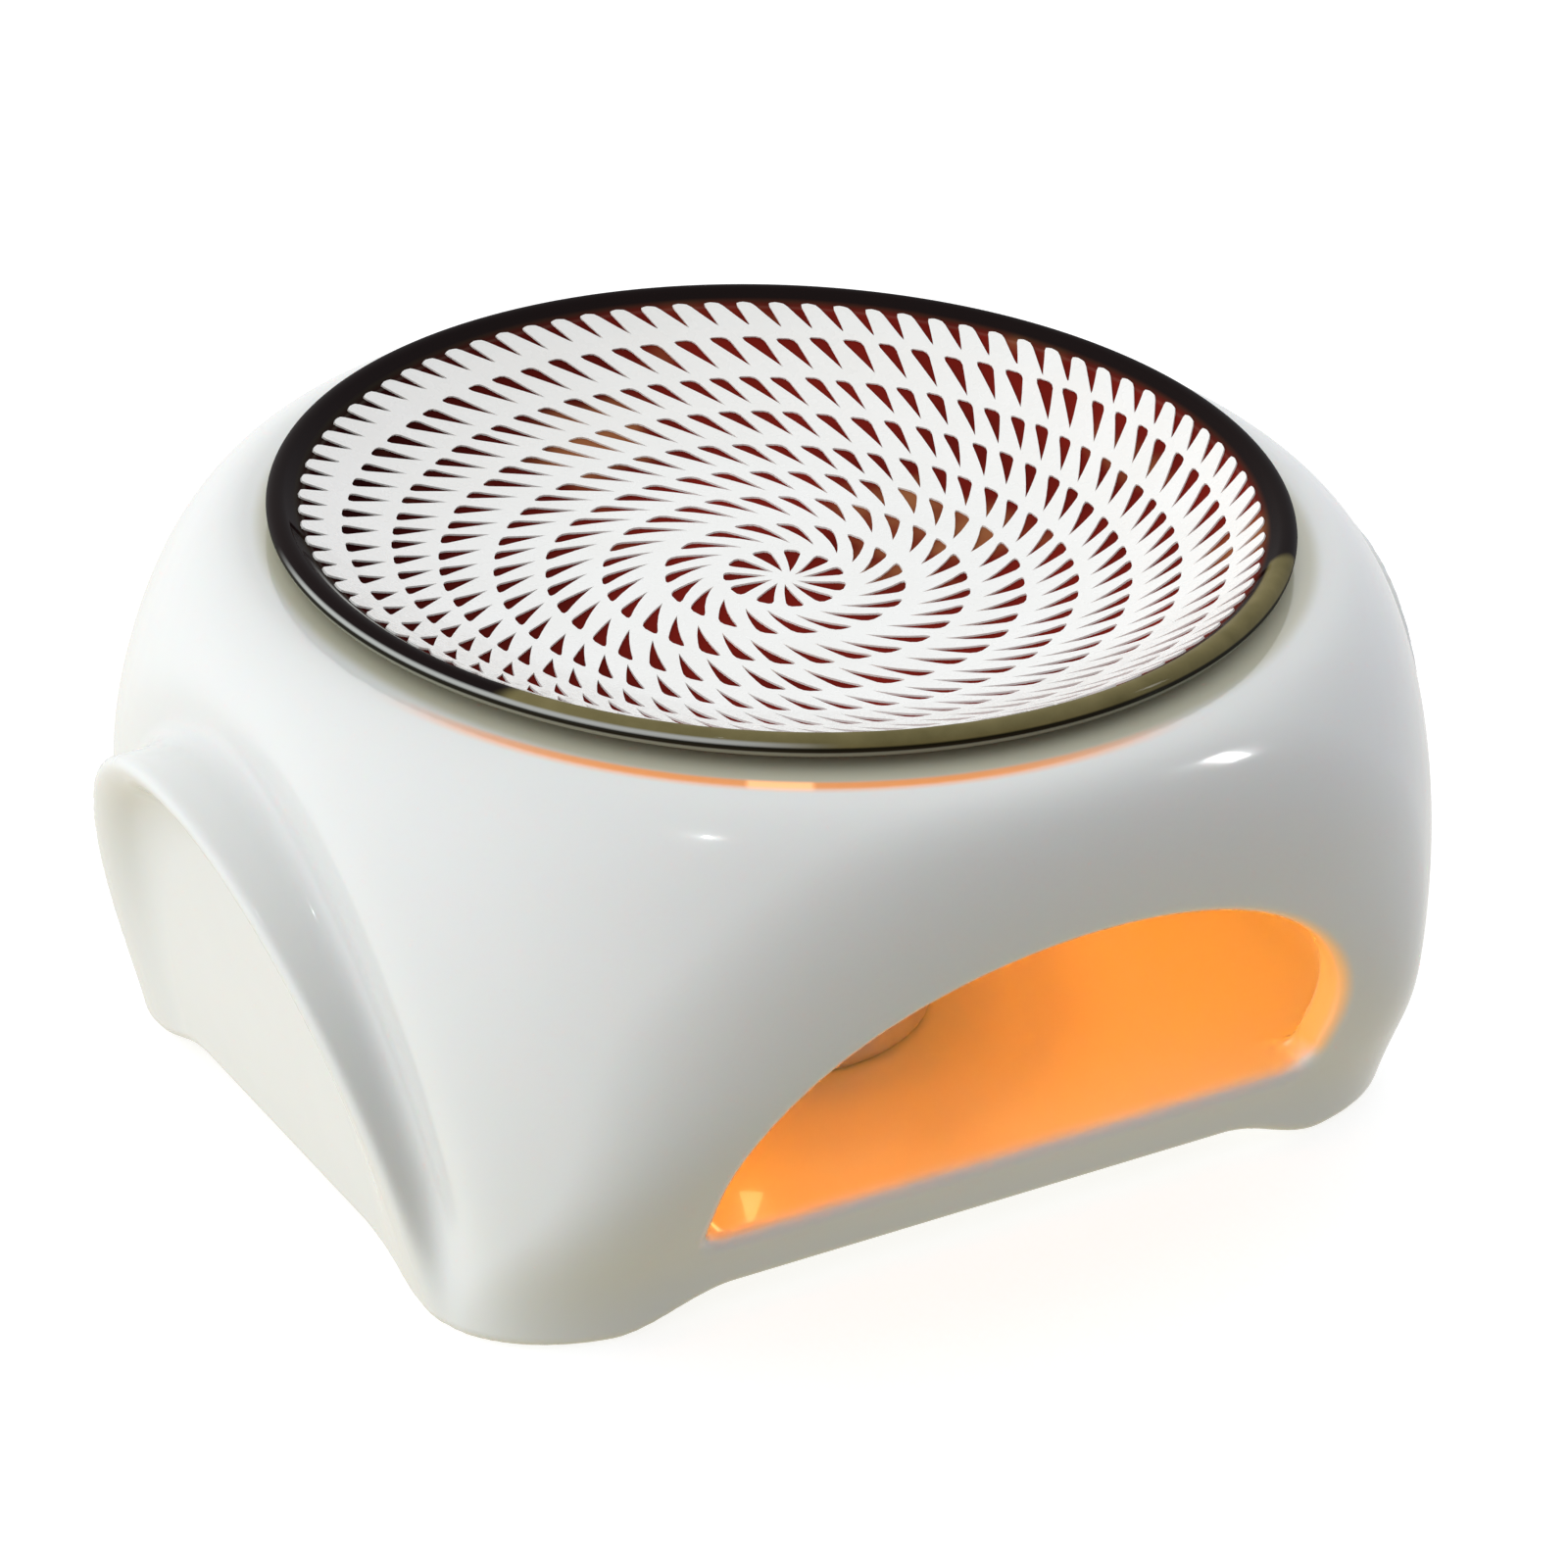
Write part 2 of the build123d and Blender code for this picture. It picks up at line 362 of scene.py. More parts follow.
def field_slope(field, points, step=0.02):
    """Gradient of a field."""
    slope = np.empty_like(points)
    for axis in range(3):
        shift = np.zeros(3)
        shift[axis] = step
        slope[:, axis] = (field(points + shift) - field(points - shift)) / (2 * step)
    return slope


def drawn_onto(field, points, rounds=3):
    """Points moved along the slope until the field is zero there."""
    for _ in range(rounds):
        slope = field_slope(field, points)
        square = np.maximum((slope * slope).sum(1), LEAST_SLOPE_SQUARE)
        points = points - slope * (field(points) / square)[:, None]
    return points


def surface_net(field, low, high, spacing):
    """Quads around the zero surface of a field: one point in each grid cell that the surface crosses."""
    counts = np.ceil((np.asarray(high) - low) / spacing).astype(int) + 1
    axes = [low[i] + spacing * np.arange(counts[i]) for i in range(3)]
    values = field(np.stack(np.meshgrid(*axes, indexing="ij"), -1))
    inside = values < 0
    cells = tuple(counts - 1)
    total = np.zeros(cells + (3,))
    crossings = np.zeros(cells)
    for axis in range(3):
        near = [slice(None)] * 3
        far = [slice(None)] * 3
        near[axis] = slice(None, -1)
        far[axis] = slice(1, None)
        start, end = values[tuple(near)], values[tuple(far)]
        crossed = inside[tuple(near)] != inside[tuple(far)]
        share = np.where(crossed, start / np.where(crossed, start - end, 1), 0)
        others = [i for i in range(3) if i != axis]
        for step_a in (0, 1):
            for step_b in (0, 1):
                pick = [slice(None)] * 3
                pick[others[0]] = slice(step_a, counts[others[0]] - 1 + step_a)
                pick[others[1]] = slice(step_b, counts[others[1]] - 1 + step_b)
                hit = crossed[tuple(pick)]
                crossings += hit
                total[..., axis] += share[tuple(pick)] * hit
                total[..., others[0]] += step_a * hit
                total[..., others[1]] += step_b * hit
    active = crossings > 0
    index = np.full(cells, -1)
    index[active] = np.arange(active.sum())
    corner = np.stack(np.nonzero(active), -1)
    points = np.asarray(low) + spacing * (corner + total[active] / crossings[active][:, None])
    faces = []
    for axis in range(3):
        second, third = (axis + 1) % 3, (axis + 2) % 3
        near = [slice(1, -1)] * 3
        far = [slice(1, -1)] * 3
        near[axis] = slice(None, -1)
        far[axis] = slice(1, None)
        crossed = inside[tuple(near)] != inside[tuple(far)]
        place = np.stack(np.nonzero(crossed), -1)
        place[:, second] += 1
        place[:, third] += 1
        ring = []
        for step_a, step_b in ((1, 1), (0, 1), (0, 0), (1, 0)):
            cell = place.copy()
            cell[:, second] -= step_a
            cell[:, third] -= step_b
            ring.append(index[tuple(cell.T)])
        quads = np.stack(ring, -1)
        leaving = inside[tuple(place.T)]
        faces.append(np.where(leaving[:, None], quads, quads[:, ::-1]))
    return points, np.concatenate(faces)


def evened(points, faces, field, rounds=3):
    """Points moved to the middle of their neighbours along the surface, so that the quads are even."""
    edges = np.concatenate([faces[:, [i, (i + 1) % 4]] for i in range(4)])
    edges = np.unique(np.sort(edges, 1), axis=0)
    count = np.bincount(edges.ravel(), minlength=len(points))[:, None]
    for _ in range(rounds):
        total = np.zeros_like(points)
        np.add.at(total, edges[:, 0], points[edges[:, 1]])
        np.add.at(total, edges[:, 1], points[edges[:, 0]])
        points = drawn_onto(field, (points + total / count) / 2)
    return points


def make_body(material):
    low, high = (np.array(corner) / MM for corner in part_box("warmer_body"))
    spacing = GRID_SPACING
    margin = GRID_MARGIN * spacing
    points, faces = surface_net(body_field, low - margin, high + margin, spacing)
    points = evened(drawn_onto(body_field, points), faces, body_field)
    points = np.clip(points, low, high)
    piece = make_piece("porcelain_body", points, faces.tolist(), material, "body")
    slope = field_slope(body_field, points)
    normals = slope / np.linalg.norm(slope, axis=1)[:, None]
    piece.data.normals_split_custom_set_from_vertices(normals.tolist())
    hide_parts("warmer_body")
    return piece


# Dish

BEAD_CENTRE = (DISH_RADIUS - DISH_BEAD_RADIUS, DISH_RIM_TOP - DISH_BEAD_RADIUS)
DISH_FLOOR = DISH_RIM_TOP - DISH_DEPTH
BOWL_RUN = BEAD_CENTRE[0] - DISH_BEAD_RADIUS * math.sqrt(0.5) - DISH_FLOOR_RADIUS
BOWL_RISE = BEAD_CENTRE[1] + DISH_BEAD_RADIUS * math.sqrt(0.5) - DISH_FLOOR
BOWL_RADIUS = (BOWL_RUN**2 + BOWL_RISE**2) / (2 * BOWL_RISE)


def bowl_height(radius):
    """Height of the dish's inner face."""
    run = np.maximum(radius - DISH_FLOOR_RADIUS, 0)
    return DISH_FLOOR + BOWL_RADIUS - np.sqrt(BOWL_RADIUS**2 - run**2)


def bowl_normal(x, y):
    """Upward normal of the dish's inner face."""
    radius = np.maximum(np.hypot(x, y), TINY)
    tilt = np.maximum(radius - DISH_FLOOR_RADIUS, 0) / BOWL_RADIUS
    return np.stack([-tilt * x / radius, -tilt * y / radius, np.sqrt(1 - tilt**2)], -1)


def make_dish(material):
    ledge_radius = DISH_RADIUS - DISH_RIM_OVERHANG
    neck_radius = ledge_radius - DISH_LEDGE_WIDTH
    belly_run = neck_radius - DISH_FLOOR_RADIUS
    belly_rise = SEAT_HEIGHT - DISH_WALL - DISH_BOTTOM
    belly_radius = (belly_run**2 + belly_rise**2) / (2 * belly_rise)
    belly_end = math.degrees(math.asin(belly_run / belly_radius)) - 90
    belly_centre = (DISH_FLOOR_RADIUS, DISH_BOTTOM + belly_radius)
    bowl_radii = np.linspace(DISH_FLOOR_RADIUS, DISH_FLOOR_RADIUS + BOWL_RUN, num=25)[:-1]
    profile = [(radius, DISH_BOTTOM) for radius in (0.0, *DISH_FLAT_RADII)]
    profile += arc_points(belly_centre, belly_radius, -90, belly_end, count=16)
    profile += [(neck_radius, SEAT_HEIGHT - DISH_EDGE), (neck_radius + DISH_EDGE, SEAT_HEIGHT)]
    profile += [(ledge_radius - DISH_EDGE, SEAT_HEIGHT), (ledge_radius, SEAT_HEIGHT + DISH_LEDGE_RISE)]
    profile += arc_points(BEAD_CENTRE, DISH_BEAD_RADIUS, -45, 135, count=19)
    profile += [(radius, float(bowl_height(radius))) for radius in reversed(bowl_radii)]
    profile += [(radius, DISH_FLOOR) for radius in (*reversed(DISH_FLAT_RADII), 0.0)]
    vertices, faces = revolved(profile, DISH_STEPS)
    piece = make_piece("glazed_dish", vertices, faces, material, "dish")
    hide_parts("melting_dish")
    return piece


def pattern_point(radius, angle):
    """Point of the pattern at a radius and angle about the pattern's own centre."""
    return (PATTERN_CENTRE.x + radius * math.cos(angle), PATTERN_CENTRE.y + radius * math.sin(angle))


def slanted(angle, radius, anchor, slant=CUT_SLANT):
    """Angle of a slanted line at a radius, where the line passes the given angle at its anchor radius."""
    return angle + math.tan(slant) * math.log(radius / anchor)


def wedge_outline(outer, length, width, angle, slant):
    """One cut: a point towards the middle, widening to a blunt rounded end."""
    inner = outer - length
    # Each pair is a share of the length and a share of the half width.
    sides = ((0.0, 0.0), (0.18, 0.2), (0.4, 0.44), (0.65, 0.7), (0.86, 0.93), (0.96, 0.86), (1.0, 0.5))
    right = [(inner + length * share, -width / 2 * spread) for share, spread in sides]
    left = [(radius, -half) for radius, half in reversed(right[1:])]
    outline = []
    for radius, half in right + left:
        outline.append(pattern_point(radius, slanted(angle, radius, outer, slant) + half / radius))
    return outline


def comb_outline():
    """Outer edge of the slip: blunt teeth between notches that open into the dark rim."""
    outline = []
    step = TURN / COMB_TEETH
    # Each pair is a share of the step and a share of the tooth's height.
    tooth = ((0.05, 0.12), (0.11, 0.36), (0.17, 0.62), (0.22, 0.86), (0.28, 0.97), (0.38, 1.0), (0.5, 1.02))
    for i in range(COMB_TEETH):
        notch = COMB_NOTCH_RADIUS + rng.uniform(*NOTCH_STRAY)
        height = SLIP_EDGE_RADIUS - notch
        shape = [(0.0, 0.0), *tooth, *((1 - share, rise) for share, rise in reversed(tooth[:-1]))]
        for share, rise in shape:
            radius = notch + height * rise
            angle = slanted((i + share) * step, radius, SLIP_EDGE_RADIUS)
            outline.append((radius * math.cos(angle), radius * math.sin(angle)))
    return outline


def cut_outlines():
    """Outlines of all the cuts, row by row. The innermost row is a rosette of longer, straighter cuts."""
    outlines = []
    for row, (outer, count) in enumerate(CUT_ROWS):
        length, slant = ROSETTE_LENGTH, ROSETTE_SLANT
        if row + 1 < len(CUT_ROWS):
            length = min(CUT_LENGTH, CUT_LENGTH_SHARE * (outer - CUT_ROWS[row + 1][0]))
            slant = CUT_SLANT
        width = CUT_WIDTH_SHARE * TURN * outer / count
        start = rng.uniform(0, TURN)
        for i in range(count):
            outlines.append(
                wedge_outline(
                    outer + rng.uniform(-CUT_STRAY, CUT_STRAY),
                    length * rng.uniform(*CUT_LENGTH_STRAY),
                    width * rng.uniform(*CUT_WIDTH_STRAY),
                    start + (i + rng.uniform(-CUT_STEP_STRAY, CUT_STEP_STRAY)) * TURN / count,
                    slant,
                )
            )
    return outlines


def slip_triangles():
    """Flat points of the slip, and the triangles between its edge and its cuts."""
    points = []
    loops = []
    for outline in [comb_outline()] + cut_outlines():
        loops.append(list(range(len(points), len(points) + len(outline))))
        points.extend(outline)
    for outer, _ in CUT_ROWS:
        for radius in (outer + offset for offset in FILL_OFFSETS):
            spread = round(TURN * radius / FILL_SPACING)
            points.extend(pattern_point(radius, TURN * i / spread) for i in range(spread))
    inside_only = 1
    merge_distance = 1e-5
    vectors = [Vector(point) for point in points]
    flat, _, triangles, _, _, sources = delaunay_2d_cdt(vectors, [], loops, inside_only, merge_distance)
    kept = [list(tri) for tri, source in zip(triangles, sources) if list(source) == [0]]
    return np.array([tuple(point) for point in flat]), kept


def make_slip(material):
    """White slip on the dish: a thin layer with every cut open down to the dark glaze."""
    flat, top = slip_triangles()
    base = np.column_stack([flat, bowl_height(np.hypot(flat[:, 0], flat[:, 1]))])
    normals = bowl_normal(flat[:, 0], flat[:, 1])
    count = len(base)
    vertices = np.concatenate([base + SLIP_THICKNESS * normals, base - SLIP_BEDDING * normals])
    directed = {(tri[i], tri[(i + 1) % 3]) for tri in top for i in range(3)}
    border = [(a, b) for a, b in directed if (b, a) not in directed]
    walls = [(a, a + count, b + count, b) for a, b in sorted(border)]
    under = [tuple(i + count for i in reversed(tri)) for tri in top]
    used = sorted({i for face in top + walls + under for i in face})
    renumber = {old: new for new, old in enumerate(used)}
    faces = [tuple(renumber[i] for i in face) for face in top + walls + under]
    piece = make_piece("dish_slip", vertices[used], faces, material, "dish")
    mesh = piece.data
    smooth = np.zeros(len(mesh.polygons), bool)
    smooth[: len(top)] = True
    mesh.polygons.foreach_set("use_smooth", smooth)
    loop_normals = [tuple(normals[i]) for tri in top for i in tri]
    loop_normals += [(0, 0, 0)] * (len(mesh.loops) - len(loop_normals))
    mesh.normals_split_custom_set(loop_normals)
    return piece


# Tealight

def fluted(radius, height, angles):
    """Drawn foil wall with shallow upright flutes that die out at the rim and the base."""
    share = min(max((height - CUP_LOW.z) / CUP_HEIGHT, 0.0), 1.0)
    depth = FLUTE_DEPTH * max(0.0, math.sin(math.pi * share))
    return radius - depth * (0.5 + 0.5 * np.cos(FLUTE_COUNT * angles))


def make_cup(material):
    """Foil cup: a base pressed up in the middle, a fluted wall and a rolled edge."""
    bead = 0.5
    wall = 0.3
    corner = 1.2
    press = 0.25
    wall_start = 1.8
    wall_inset = 1.6
    low, high = CUP_LOW.z, CUP_HIGH.z
    outer = CUP_RADIUS - bead
    press_radius = outer - 5.0
    stand_radius = outer - 4.4
    profile = [(0.0, low + press), (press_radius, low + press), (stand_radius, low)]
    profile += arc_points((outer - corner, low + corner), corner, -90, 0, count=7)
    outside = np.linspace(low + wall_start, high - 2 * bead, num=8)
    profile += [(outer, height) for height in outside]
    profile += arc_points((outer, high - bead), bead, -60, 180, count=13)
    inside = np.linspace(high - wall_inset, low + wall_inset, num=8)
    profile += [(outer - wall, height) for height in inside]
    profile += [(stand_radius, low + wall), (press_radius, low + press + wall), (0.0, low + press + wall)]
    vertices, faces = revolved(profile, CUP_STEPS, CUP_CENTRE, fluted)
    piece = make_piece("foil_cup", vertices, faces, material, "tealight")
    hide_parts("tealight_cup")
    return piece


def make_wax(material):
    """Wax with a melted pool, which climbs a little around the wick."""
    # Each pair is the distance from the wax's side, then the height over its bottom or depth under its top.
    foot = ((6.0, 0.5), (1.4, 0.4), (0.4, 1.4))
    edge = ((0.3, 1.0), (0.2, 0.05), (0.6, 0.25))
    pool_inset = 1.4
    pool_depth = 0.55
    climb = 0.35
    climb_radius = 1.0
    climb_width = 1.1
    low, top = WAX_LOW.z, WAX_HIGH.z
    profile = [(0.0, low + foot[0][1])]
    profile += [(WAX_RADIUS - inset, low + rise) for inset, rise in foot]
    profile += [(WAX_RADIUS - inset, top - drop) for inset, drop in edge]
    for radius in np.linspace(WAX_RADIUS - pool_inset, 0.0, num=24):
        swell = climb * math.exp(-(((radius - climb_radius) / climb_width) ** 2))
        profile.append((radius, top - pool_depth + swell))
    vertices, faces = revolved(profile, WAX_STEPS, CUP_CENTRE)
    piece = make_piece("candle_wax", vertices, faces, material, "tealight")
    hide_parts("tealight_wax")
    return piece


def make_wick(material):
    """Braided wick, leaning over a little above the wax and thinner at the burnt tip."""
    foot = 0.4
    bend = 0.35
    taper = 0.35
    thickness = 0.52
    strand_count = 3
    strand_depth = 0.14
    twist = 2.4
    high = WICK_HIGH.z
    wax_top = WAX_HIGH.z
    heights = np.linspace(WICK_LOW.z + foot, high, num=60)
    angles = np.arange(WICK_STEPS) * TURN / WICK_STEPS
    vertices = []
    for height in heights:
        above = max(0.0, (height - wax_top) / (high - wax_top))
        size = thickness * WICK_RADIUS * (1 - taper * above**2)
        left_strands = np.cos(strand_count * angles + twist * height)
        right_strands = np.cos(strand_count * angles - twist * height)
        radii = size * (1 + strand_depth * left_strands + strand_depth * right_strands)
        x = CUP_CENTRE.x + bend * above**2 + radii * np.cos(angles)
        y = CUP_CENTRE.y + radii * np.sin(angles)
        vertices.extend(zip(x, y, np.full(WICK_STEPS, height)))
    faces = []
    for low_ring in range(0, len(vertices) - WICK_STEPS, WICK_STEPS):
        high_ring = low_ring + WICK_STEPS
        for i in range(WICK_STEPS):
            j = (i + 1) % WICK_STEPS
            faces.append((low_ring + i, low_ring + j, high_ring + j, high_ring + i))
    faces.append(tuple(reversed(range(WICK_STEPS))))
    faces.append(tuple(range(len(vertices) - WICK_STEPS, len(vertices))))
    piece = make_piece("braided_wick", vertices, faces, material, "tealight")
    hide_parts("wick")
    return piece


def make_flame(material):
    """Flame: a drop, fullest low down and drawn out to a point."""
    fullness = 0.62
    taper = 0.45
    profile = [(0.0, FLAME_BASE)]
    for share in np.linspace(0, 1, num=28)[1:-1]:
        swell = math.sin(math.pi * share**fullness) * (1 - taper * share)
        profile.append((FLAME_GIRTH * swell, FLAME_BASE + FLAME_HEIGHT * share))
    profile.append((0.0, FLAME_BASE + FLAME_HEIGHT))
    vertices, faces = revolved(profile, FLAME_STEPS, (CUP_CENTRE.x + FLAME_ASIDE, CUP_CENTRE.y))
    return make_piece("flame", vertices, faces, material, "tealight")


# Materials

NOISE_SPAN = (0.3, 0.7)


def new_material(name):
    material = bpy.data.materials.new(name)
    material.use_nodes = True
    tree = material.node_tree
    shader = next(node for node in tree.nodes if node.type == "BSDF_PRINCIPLED")
    return material, tree, shader


def add_node(tree, kind, **settings):
    node = tree.nodes.new(kind)
    for key, value in settings.items():
        if key in node.inputs:
            node.inputs[key].default_value = value
        else:
            setattr(node, key, value)
    return node


def noise(tree, scale, detail):
    """Noise in the part's own frame, with the scale in waves per millimetre."""
    place = add_node(tree, "ShaderNodeTexCoord")
    node = add_node(tree, "ShaderNodeTexNoise", Scale=scale / MM, Detail=detail, Roughness=0.5)
    tree.links.new(place.outputs["Object"], node.inputs["Vector"])
    return node.outputs["Fac"]


def math_node(tree, operation, *values):
    node = tree.nodes.new("ShaderNodeMath")
    node.operation = operation
    for socket, value in zip(node.inputs, values):
        if isinstance(value, (int, float)):
            socket.default_value = value
        else:
            tree.links.new(value, socket)
    return node.outputs[0]


def product(tree, first, *others):
    for other in others:
        first = math_node(tree, "MULTIPLY", first, other)
    return first


def hypotenuse(tree, a, b):
    return math_node(tree, "SQRT", math_node(tree, "ADD", product(tree, a, a), product(tree, b, b)))


def remap(tree, value, low, high, to_low=0.0, to_high=1.0, smooth=False):
    node = tree.nodes.new("ShaderNodeMapRange")
    node.interpolation_type = "SMOOTHSTEP" if smooth else "LINEAR"
    tree.links.new(value, node.inputs["Value"])
    for key, number in (("From Min", low), ("From Max", high), ("To Min", to_low), ("To Max", to_high)):
        node.inputs[key].default_value = number
    return node.outputs["Result"]


def uneven(tree, scale, detail, low, high):
    """Noise spread between two values."""
    return remap(tree, noise(tree, scale, detail), *NOISE_SPAN, low, high)


def masked(tree, *ramps):
    """Product of ramps, each given as a value and where it is 0 and 1, in millimetres."""
    shares = [remap(tree, value, start * MM, end * MM, smooth=True) for value, start, end in ramps]
    return product(tree, *shares)


def blend_colours(tree, share, first, second):
    node = tree.nodes.new("ShaderNodeMix")
    node.data_type = "RGBA"
    tree.links.new(share, node.inputs["Factor"])
    for key, value in (("A", first), ("B", second)):
        socket = next(s for s in node.inputs if s.name == key and s.type == "RGBA")
        if isinstance(value, tuple):
            socket.default_value = (*value, 1.0)
        else:
            tree.links.new(value, socket)
    return next(s for s in node.outputs if s.type == "RGBA")


def bump(tree, shader, height, strength, distance):
    node = add_node(tree, "ShaderNodeBump", Strength=strength, Distance=distance * MM)
    tree.links.new(height, node.inputs["Height"])
    tree.links.new(node.outputs["Normal"], shader.inputs["Normal"])


def place_parts(tree):
    """Sockets with x, y, z and the radius about the part's axis, in metres."""
    place = add_node(tree, "ShaderNodeTexCoord")
    parts = tree.nodes.new("ShaderNodeSeparateXYZ")
    tree.links.new(place.outputs["Object"], parts.inputs[0])
    x, y, z = parts.outputs
    return x, y, z, hypotenuse(tree, x, y)


def along(tree, x, y, direction):
    """How far a place lies along a level direction."""
    return math_node(tree, "ADD", product(tree, x, direction[0]), product(tree, y, direction[1]))


def wall_line(tree, value, z, lean):
    """Distance from the middle, less what a leaning wall gains with height."""
    return math_node(tree, "SUBTRACT", math_node(tree, "ABSOLUTE", value), product(tree, z, lean))


def archway_share(tree, x, z):
    """1 on the outline of the archways, less inside it and more outside."""
    across = math_node(tree, "SUBTRACT", x, ARCHWAY_SHIFT * MM)
    across = product(tree, across, 1 / (ARCHWAY_HALF_WIDTH * MM))
    twice_crown = 2 * ARCHWAY_CROWN - ARCHWAY_SPRING
    rise = remap(tree, z, ARCHWAY_SPRING * MM, twice_crown * MM, 0.0, 2.0)
    return hypotenuse(tree, across, rise)


# Porcelain: its cloud tints, then painted shade and reflection, painted candle light, a painted glow and a
# painted highlight
CLOUD_GREY = (0.745, 0.765, 0.755)
CLOUD_PALE = (0.80, 0.81, 0.795)
SEAT_SHADE_AND_REFLECTION = (0.60, 0.585, 0.47)
CHAMBER_PAINTED_CANDLE_LIGHT = (0.80, 0.72, 0.42)
JAMB_PAINTED_CANDLE_LIGHT = (0.80, 0.52, 0.20)
RING_PAINTED_GLOW = (0.72, 0.33, 0.14)
RING_LIGHT = (1.0, 0.32, 0.08)
STRIP_PAINTED_HIGHLIGHT = (1.0, 0.7, 0.35)

# Porcelain: where the tints lie. Each pair is where a tint is nothing and where it is full.
SEAT_LEVEL = (SEAT_HEIGHT - 1.6, SEAT_HEIGHT - 0.3)
SEAT_SHADE = (54.8, 53.0)
SEAT_SHADE_RUN = 45.0
SEAT_SHADE_GAIN = 1.4
CHAMBER_LEAN = 0.394
CHAMBER_FRONT = (43.0, 40.0)
CHAMBER_SIDE = (55.0, 53.0)
CHAMBER_RADIUS = (61.0, 59.0)
CHAMBER_BOTTOM = (8.5, 10.0)
CHAMBER_TOP = (SEAT_HEIGHT - WALL, SEAT_HEIGHT - WALL - 1.0)
JAMB_FRONT = (38.5, 40.5)
JAMB_FOOT = (FLOOR_TOP + 1.0, FLOOR_TOP + 4.0)
JAMB_SHARE = (1.05, 1.0)
RING_INSIDE = (54.6, 55.4)
RING_OUTSIDE = (57.0, 55.8)
RING_AHEAD = (38.0, 54.0)
STRIP_LEFT = (-4.6, -3.8)
STRIP_RIGHT = (2.6, 1.8)

# Porcelain: level directions that the tints are measured along
SEAT_SHADE_SIDE = (0.1, -0.995)
RING_SIDE = (-0.5, -0.866)
STRIP_SIDE = (0.866, -0.5)


def porcelain():
    """White glazed porcelain: faint clouds and a slightly wavy glaze, with painted shade and reflection
    under the dish's rim, painted candle light in the chamber and on the jambs, and a painted glow and
    highlight at the seat's edge.
    """
    material, tree, shader = new_material("white porcelain")
    x, y, z, radius = place_parts(tree)
    colour = blend_colours(tree, noise(tree, scale=0.03, detail=4.0), CLOUD_GREY, CLOUD_PALE)

    at_seat = masked(tree, (z, *SEAT_LEVEL))
    # Painted shade and painted reflection of the dark rim on the seat just under the dish's rim, reaching
    # further on the near side
    nearness = along(tree, x, y, SEAT_SHADE_SIDE)
    gain = remap(tree, nearness, 0.0, SEAT_SHADE_RUN * MM, 0.0, SEAT_SHADE_GAIN * MM, smooth=True)
    shade = masked(tree, (math_node(tree, "SUBTRACT", radius, gain), *SEAT_SHADE))
    colour = blend_colours(tree, product(tree, shade, at_seat), colour, SEAT_SHADE_AND_REFLECTION)

    # Painted candle light: the inside of the chamber is painted warm yellow, so that all the light in it
    # turns orange
    front_line = wall_line(tree, y, z, CHAMBER_LEAN)
    side_line = wall_line(tree, x, z, PANEL_LEAN)
    chamber = masked(
        tree,
        (front_line, *CHAMBER_FRONT),
        (side_line, *CHAMBER_SIDE),
        (radius, *CHAMBER_RADIUS),
        (z, *CHAMBER_BOTTOM),
        (z, *CHAMBER_TOP),
    )
    colour = blend_colours(tree, chamber, colour, CHAMBER_PAINTED_CANDLE_LIGHT)

    # Painted candle light on the archway's jambs: painted orange, and glowing like the ring below
    in_archway = remap(tree, archway_share(tree, x, z), *JAMB_SHARE, smooth=True)
    painted_jamb_light = product(tree, masked(tree, (front_line, *JAMB_FRONT), (z, *JAMB_FOOT)), in_archway)
    colour = blend_colours(tree, painted_jamb_light, colour, JAMB_PAINTED_CANDLE_LIGHT)

    # Painted glow: an orange ring round the seat's outer edge on the near side, painted orange and glowing
    # though no lamp is there
    ring = masked(tree, (radius, *RING_INSIDE), (radius, *RING_OUTSIDE))
    ahead = masked(tree, (along(tree, x, y, RING_SIDE), *RING_AHEAD))
    ring = product(tree, ring, at_seat, ahead)
    colour = blend_colours(tree, ring, colour, RING_PAINTED_GLOW)
    tree.links.new(colour, shader.inputs["Base Color"])

    # Painted highlight: a short pale glowing strip on the near part of the ring, standing in for a glint
    sideways = along(tree, x, y, STRIP_SIDE)
    painted_highlight = product(tree, ring, masked(tree, (sideways, *STRIP_LEFT), (sideways, *STRIP_RIGHT)))
    tree.links.new(blend_colours(tree, painted_highlight, RING_LIGHT, STRIP_PAINTED_HIGHLIGHT), shader.inputs["Emission Color"])
    # Emission of the painted glow on the ring and the jambs, plus the painted highlight
    glow = product(tree, math_node(tree, "MAXIMUM", ring, painted_jamb_light), PAINTED_GLOW_STRENGTH)
    glow = math_node(tree, "ADD", glow, product(tree, painted_highlight, PAINTED_HIGHLIGHT_STRENGTH))
    tree.links.new(glow, shader.inputs["Emission Strength"])

    shader.inputs["IOR"].default_value = 1.5
    shader.inputs["Subsurface Weight"].default_value = 0.2
    shader.inputs["Subsurface Radius"].default_value = (4 * MM, 2.4 * MM, 1.4 * MM)
    shader.inputs["Subsurface Scale"].default_value = 1.0
    shader.inputs["Coat Weight"].default_value = 0.5
    shader.inputs["Coat Roughness"].default_value = 0.03
    tree.links.new(uneven(tree, scale=0.15, detail=2.0, low=0.1, high=0.2), shader.inputs["Roughness"])
    bump(tree, shader, noise(tree, scale=0.05, detail=2.0), strength=0.08, distance=0.4)
    return material


